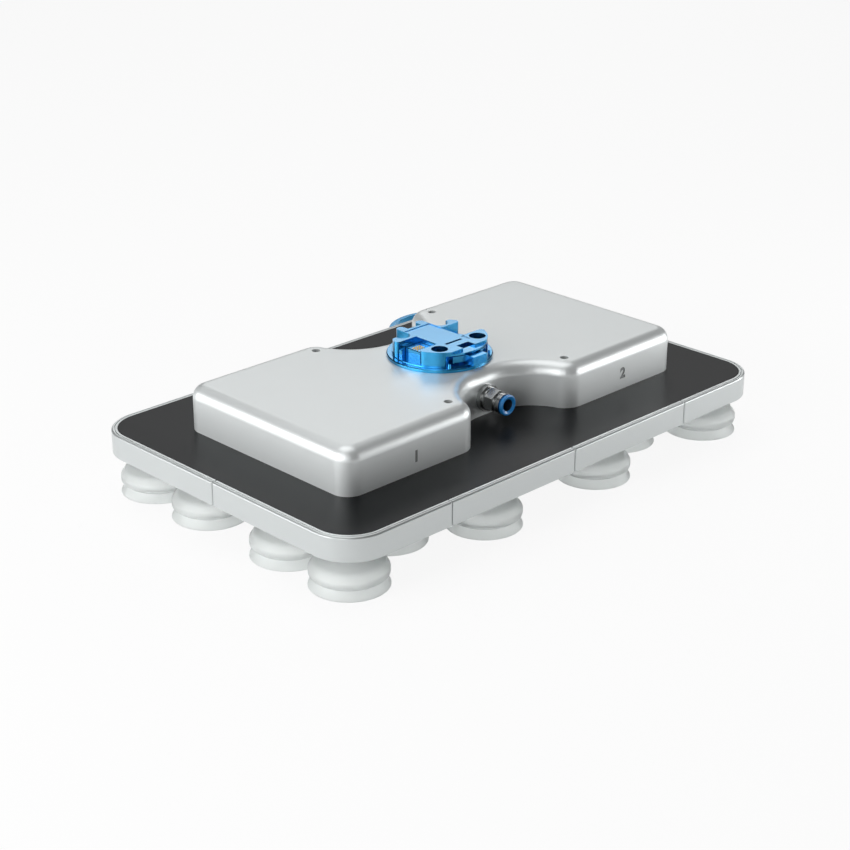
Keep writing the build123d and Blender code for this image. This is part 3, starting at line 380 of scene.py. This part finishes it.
def numeral_cutter(text, x, foot_z, wall_y):
    """A solid numeral that reaches into a front wall, with its middle at x and foot at foot_z."""
    curve = bpy.data.curves.new("numeral_" + text, "FONT")
    curve.body = text
    curve.extrude = NUMERAL_DEPTH
    curve.offset = NUMERAL_STROKE
    curve.resolution_u = NUMERAL_CURVE_STEPS
    writer = bpy.data.objects.new("writer", curve)
    bpy.context.scene.collection.objects.link(writer)
    depsgraph = bpy.context.evaluated_depsgraph_get()
    mesh = bpy.data.meshes.new_from_object(writer.evaluated_get(depsgraph))
    bpy.data.objects.remove(writer)
    form = bmesh.new()
    form.from_mesh(mesh)
    bmesh.ops.remove_doubles(form, verts=form.verts, dist=WELD)
    across = [vert.co.x for vert in form.verts]
    upward = [vert.co.y for vert in form.verts]
    foot = min(upward)
    size = NUMERAL_HEIGHT / (max(upward) - foot)
    middle = (max(across) + min(across)) / 2
    for vert in form.verts:
        flat_x, flat_y, deep = vert.co
        vert.co = (x + (flat_x - middle) * size, wall_y - deep, foot_z + (flat_y - foot) * size)
    bmesh.ops.recalc_face_normals(form, faces=form.faces)
    # the cut faces take the painted shade of the engraving
    for face in form.faces:
        face.material_index = 1
    form.to_mesh(mesh)
    form.free()
    for material in (SILVER_PAINT, ENGRAVING_SHADE):
        mesh.materials.append(material)
    return mesh


def engrave(piece, cutters):
    """Cut the solids of the given meshes out of a piece, with painted shade in the cuts."""
    piece.data.materials.append(ENGRAVING_SHADE)
    for mesh in cutters:
        cutter = bpy.data.objects.new("cutter", mesh)
        bpy.context.scene.collection.objects.link(cutter)
        cut = piece.modifiers.new("engraving", "BOOLEAN")
        cut.operation = "DIFFERENCE"
        cut.solver = "EXACT"
        cut.object = cutter
        depsgraph = bpy.context.evaluated_depsgraph_get()
        piece.data = bpy.data.meshes.new_from_object(piece.evaluated_get(depsgraph))
        piece.modifiers.clear()
        bpy.data.objects.remove(cutter)


front_wall_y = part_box("housing")[0].y
housing = dressed("housing", SILVER_PAINT, PAINTED_EDGE)
housing.modifiers.clear()    # the normals are evened once more after the cuts
engrave(housing, [numeral_cutter(text, x, foot_z, front_wall_y)
                  for text, (x, foot_z) in NUMERALS.items()])
shade(housing)


# Coupling, latch, loop and the fitting's body

for node in ("coupling_flange", "coupling_body", "contact_block", "coupling_latch", "rear_loop"):
    dressed(node, BLUE, BROKEN_EDGE)
dressed("fitting_body", FITTING, BROKEN_EDGE)


# The fitting's collet

COLLET_FACE = 6.95 * MM      # outer radius of the collar that is pressed
COLLET_NECK = 5.1 * MM       # radius behind the collar
COLLET_BORE = 4.1 * MM       # radius of the air passage
COLLET_RIM = 1.9 * MM        # thickness of the collar
SHADE_REACH = 0.1 * MM        # how far past the bore's radius the painted shade goes


def darken_bore(piece, radius, place):
    """Paint shade on the faces within a radius of the air passage's axis, where the deep bore lies
    in shade.
    """
    piece.data.materials.append(BORE_PAINTED_SHADE)
    points = piece.data.vertices
    for face in piece.data.polygons:
        reach = max(math.hypot(points[k].co.x - place.x, points[k].co.z - place.z)
                    for k in face.vertices)
        if reach < radius:
            face.material_index = 1


collet_low, collet_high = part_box("fitting_collet")
mouth = Vector((0, collet_low.y, (collet_low.z + collet_high.z) / 2))
collet_length = collet_high.y - collet_low.y
collet_outline = rounded([   # radius, height from the mouth, rounding
    (COLLET_NECK, -collet_length, 0.3 * MM),
    (COLLET_NECK, -COLLET_RIM, 0),
    (COLLET_FACE, -COLLET_RIM, 0.2 * MM),
    (COLLET_FACE, -0.2 * MM, 0.6 * MM),
    (COLLET_FACE - 0.9 * MM, 0, 0.3 * MM),
    (COLLET_FACE - 1.5 * MM, -0.1 * MM, 0.2 * MM),
    (COLLET_BORE, -0.9 * MM, 0.1 * MM),
    (COLLET_BORE, -collet_length, 0.2 * MM),
])
collet_rings = [circle(corner.x, corner.y, FINE_STEPS) for corner in collet_outline]
collet = skinned("collet_turned", placed(collet_rings, mouth, FRONT), BLUE_COLLET,
                 "fitting_collet", closed=True)
# the inside of the bore gets painted shade
darken_bore(collet, COLLET_BORE + SHADE_REACH, mouth)


# Contact pins

PIN_FOOT = 0.8               # radius of a pin's foot, as a share of its own radius
PIN_OUTLINE = [              # radius and height from the top, as shares of a pin's radius
    (PIN_FOOT, -3),
    (1, -2.6),
    (1, -0.5),
    (0.85, -0.2),
    (0.5, -0.04),
    (0.15, 0),
]

for number, (low, high) in enumerate(islands("contact_pins"), 1):
    pin_radius = (high.x - low.x) / 2
    place, length = end_of(low, high, UP)
    rings = [circle(pin_radius * PIN_FOOT, -length, PIN_STEPS)]
    rings += [circle(pin_radius * wide, pin_radius * up, PIN_STEPS) for wide, up in PIN_OUTLINE]
    skinned(f"contact_pin_{number:02d}", placed(rings, place, UP), GOLD, "contact_pins")


# Screws

HEAD_EDGE = 0.3 * MM         # broken edge of a cylinder head
SOCKET_CHAMFER = 0.15 * MM
SOCKET_MOUTH = 0.62          # radius of the socket's mouth, as a share of its width across flats


def cap_outline(head_radius, head_height, shank_radius, length):
    """A cylinder head with a broken edge, on a shank; length is that of the whole screw."""
    return [(head_radius - HEAD_EDGE, 0), (head_radius, -HEAD_EDGE),
            (head_radius, HEAD_EDGE - head_height), (head_radius - HEAD_EDGE, -head_height),
            (shank_radius, -head_height), (shank_radius, -length)]


def button_outline(head_radius, head_height, shank_radius, length):
    """A low domed head on a shank."""
    return [(head_radius * 0.62, -head_height * 0.05), (head_radius * 0.85, -head_height * 0.3),
            (head_radius * 0.97, -head_height * 0.65), (head_radius, -head_height),
            (shank_radius, -head_height), (shank_radius, -length)]


def sunk_outline(head_radius, head_height, shank_radius, length):
    """A countersunk head that tapers into its shank."""
    return [(head_radius - 0.1 * MM, 0), (head_radius, -0.05 * MM),
            (shank_radius, -head_height), (shank_radius, -length)]


# Each node's head, then in mm the head's radius and height, the shank's radius and the socket's
# width and depth, and last the way that the head faces
SCREWS = {
    "housing_screws": (cap_outline, 2.75, 3.0, 1.5, 2.5, 1.5, UP),
    "coupling_screws": (cap_outline, 5.0, 3.6, 3.0, 5.0, 2.2, UP),
    "bottom_screws": (sunk_outline, 2.8, 1.3, 1.5, 2.0, 0.9, DOWN),
    "loop_screws": (button_outline, 2.75, 1.6, 1.5, 2.0, 0.9, BACK),
}

for node, (outline, head_radius, head_height, shank_radius, socket, depth, axis) in SCREWS.items():
    boxes = islands(node)
    digits = len(str(len(boxes)))
    for number, (low, high) in enumerate(boxes, 1):
        place, length = end_of(low, high, axis)
        rings = [hexagon(socket * MM, -depth * MM), hexagon(socket * MM, -SOCKET_CHAMFER),
                 circle(socket * MM * SOCKET_MOUTH, 0)]
        rings += [circle(radius, height) for radius, height in
                  outline(head_radius * MM, head_height * MM, shank_radius * MM, length)]
        skinned(f"{node[:-1]}_{number:0{digits}d}", placed(rings, place, axis), DARK_STEEL, node)


# Latch springs

SPRING_WIRE = 0.25 * MM      # radius of the wire
SPRING_TURNS = 6
STEPS_PER_TURN = 20
STEPS_ROUND_WIRE = 8


def spring(name, place, length, radius, node):
    """A coil spring of round wire that runs from place towards the front."""
    rings = []
    count = SPRING_TURNS * STEPS_PER_TURN
    for step in range(count + 1):
        share = step / count
        angle = 2 * math.pi * SPRING_TURNS * share
        out = Vector((math.cos(angle), 0, math.sin(angle)))
        forward = -SPRING_WIRE - share * (length - 2 * SPRING_WIRE)
        centre = Vector(place) + out * (radius - SPRING_WIRE) + Vector((0, forward, 0))
        turns = [2 * math.pi * k / STEPS_ROUND_WIRE for k in range(STEPS_ROUND_WIRE)]
        rings.append([centre + (out * math.cos(turn) + Vector(BACK) * math.sin(turn)) * SPRING_WIRE
                      for turn in turns])
    skinned(name, rings, DARK_STEEL, node, SOFT_ANGLE)


for number, (low, high) in enumerate(islands("latch_springs"), 1):
    place, length = end_of(low, high, BACK)
    spring(f"latch_spring_{number}", place, length, (high.x - low.x) / 2, "latch_springs")


# Cups: each is one soft wall from its neck round the lip and back up inside

cup_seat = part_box("cup_bellows")[1].z    # top of the neck
cup_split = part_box("cup_lips")[1].z      # height of the fold
cup_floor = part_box("cup_lips")[0].z      # plane of the lips
CUP_CORNERS = [              # radius, level that the height is counted from, height, rounding
    (9.0, cup_seat, 0, 0.6),
    (9.0, cup_seat, -5.0, 2.5),
    (21.6, cup_split, 11.2, 5.0),
    (24.6, cup_split, 6.8, 3.0),
    (24.6, cup_split, 2.6, 2.2),
    (20.6, cup_split, 0.3, 0.6),
    (25.0, cup_floor, 0.2, 0.2),
    (24.0, cup_floor, 0, 0.2),
    (18.9, cup_split, -0.9, 0.9),
    (22.7, cup_split, 4.8, 1.8),
    (19.6, cup_split, 9.4, 4.0),
    (5.5, cup_seat, -8.0, 2.0),
    (5.5, cup_seat, 0, 0.4),
]
cup_outline = rounded([(radius * MM, level + height * MM, rounding * MM)
                       for radius, level, height, rounding in CUP_CORNERS])
cup_rings = [circle(corner.x, corner.y, FINE_STEPS) for corner in cup_outline]

for number, (low, high) in enumerate(islands("cup_lips"), 1):
    name = f"cup_{number:02d}"
    centre = ((low.x + high.x) / 2, (low.y + high.y) / 2, 0)
    cup = link(name, rings_mesh(name, placed(cup_rings, centre, UP), closed=True), CUP)
    shade(cup, SOFT_ANGLE)
    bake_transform(cup)
    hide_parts("cup_bellows", "cup_lips")


# Nodes that keep their own mesh and get a finish

CARRIED = {
    "fitting_grip_ring": DARK_STEEL,
    "fitting_seal_ring": SEAL_RUBBER,
    "housing_seal": SEAL_RUBBER,
    "plenum_seal": SEAL_RUBBER,
    "plenum_frame": FRAME_PLASTIC,
    "manifold_block": BLOCK_METAL,
    "ejector_block_left": BLOCK_METAL,
    "ejector_block_right": BLOCK_METAL,
    "ejector_nozzles": BRASS,
    "board_standoffs": BRASS,
    "silencers": SINTERED,
    "solenoid_valves": VALVE_PLASTIC,
    "vacuum_sensors": VALVE_PLASTIC,
    "circuit_board": BOARD,
}
for node, material in CARRIED.items():
    mesh = frame["nodes"][node].data
    mesh.materials.clear()
    mesh.materials.append(material)


# Stage

FLOOR_HALF = 6.0             # metres from the middle to a side
FLOOR_COLOUR = (0.90, 0.90, 0.90, 1)
FLOOR_ROUGHNESS = 0.8
FLOOR_GLOW = {               # share of plain white that each kind of ray sees instead
    "Is Camera Ray": 0.9,
    "Is Glossy Ray": 0.30,
    "Is Transmission Ray": 0.9,
}
WHITE = (1, 1, 1, 1)


def floor_material():
    """A pale floor that keeps the object's shadow and shows near white to camera and silicone."""
    mat, nodes, links = plain_material("pale_floor")
    shader = nodes["Principled BSDF"]
    shader.inputs["Base Color"].default_value = FLOOR_COLOUR
    shader.inputs["Roughness"].default_value = FLOOR_ROUGHNESS
    glow = nodes.new("ShaderNodeEmission")
    glow.inputs["Color"].default_value = WHITE
    path = nodes.new("ShaderNodeLightPath")
    total = None
    for ray, amount in FLOOR_GLOW.items():
        share = nodes.new("ShaderNodeMath")
        share.operation = "MULTIPLY"
        share.inputs[1].default_value = amount
        links.new(path.outputs[ray], share.inputs[0])
        if total is None:
            total = share
            continue
        larger = nodes.new("ShaderNodeMath")
        larger.operation = "MAXIMUM"
        links.new(total.outputs["Value"], larger.inputs[0])
        links.new(share.outputs["Value"], larger.inputs[1])
        total = larger
    mix = nodes.new("ShaderNodeMixShader")
    links.new(total.outputs["Value"], mix.inputs["Fac"])
    links.new(shader.outputs["BSDF"], mix.inputs[1])
    links.new(glow.outputs["Emission"], mix.inputs[2])
    links.new(mix.outputs["Shader"], nodes["Material Output"].inputs["Surface"])
    return mat


floor_mesh = bpy.data.meshes.new("floor")
floor_corners = [(x * FLOOR_HALF, y * FLOOR_HALF, cad_low.z)
                 for x, y in ((-1, -1), (1, -1), (1, 1), (-1, 1))]
floor_mesh.from_pydata(floor_corners, [], [(0, 1, 2, 3)])
floor = link("floor", floor_mesh, floor_material())
floor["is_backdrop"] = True


# Light

LAMPS = [                    # name, place, target, width, height, watts
    ("top_box", (0.0, 0.35, 1.97), (0, 0, 0), 2.0, 2.0, 20),
    ("left_box", (-1.43, -0.25, 0.68), (0, 0, 0), 1.6, 1.2, 7.5),
    ("low_left_box", (-1.10, 0.40, 0.25), (0, 0, 0), 1.2, 0.5, 9.0),
    ("front_left_box", (-1.42, -1.00, 0.47), (0, 0, -0.05), 0.8, 0.6, 2.5),
    ("back_box", (1.50, 1.50, 1.13), (0, 0, 0), 1.8, 0.8, 6.9),
    ("right_box", (0.60, -0.45, 0.05), (0.1, -0.1, -0.05), 0.5, 0.3, 2.2),
]
WORLD_LIGHT = 0.06           # strength of the world as a light
WORLD_SHOWN = 1.0            # its strength where the camera looks straight at it

for name, place, target, width, height, watts in LAMPS:
    box = bpy.data.lights.new(name, "AREA")
    box.shape = "RECTANGLE"
    box.size = width
    box.size_y = height
    box.energy = watts
    lamp = bpy.data.objects.new(name, box)
    lamp.location = place
    lamp.rotation_euler = (Vector(target) - Vector(place)).to_track_quat("-Z", "Y").to_euler()
    bpy.context.scene.collection.objects.link(lamp)

world = bpy.data.worlds.new("studio")
bpy.context.scene.world = world
world.use_nodes = True
world_nodes, world_links = world.node_tree.nodes, world.node_tree.links
background = world_nodes["Background"]
background.inputs["Color"].default_value = WHITE
path = world_nodes.new("ShaderNodeLightPath")
level = world_nodes.new("ShaderNodeMapRange")
level.inputs["To Min"].default_value = WORLD_LIGHT
level.inputs["To Max"].default_value = WORLD_SHOWN
world_links.new(path.outputs["Is Camera Ray"], level.inputs["Value"])
world_links.new(level.outputs["Result"], background.inputs["Strength"])


# Camera

CAMERA_PLACE = (-820.3 * MM, -822.6 * MM, 434.2 * MM)
CAMERA_HEADING = 44.4394     # degrees from +Y towards +X
CAMERA_PITCH = 23.2197       # degrees below level
CAMERA_LENS = 78.987         # mm
CAMERA_SENSOR = 36           # mm
CAMERA_REACH = 30            # metres

camera_data = bpy.data.cameras.new("camera")
camera_data.sensor_width = CAMERA_SENSOR
camera_data.lens = CAMERA_LENS
camera_data.clip_end = CAMERA_REACH
camera = bpy.data.objects.new("camera", camera_data)
camera.location = CAMERA_PLACE
camera.rotation_euler = (math.radians(90 - CAMERA_PITCH), 0, math.radians(-CAMERA_HEADING))
bpy.context.scene.collection.objects.link(camera)
bpy.context.scene.camera = camera
bpy.context.scene.view_settings.view_transform = "Standard"

low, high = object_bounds()
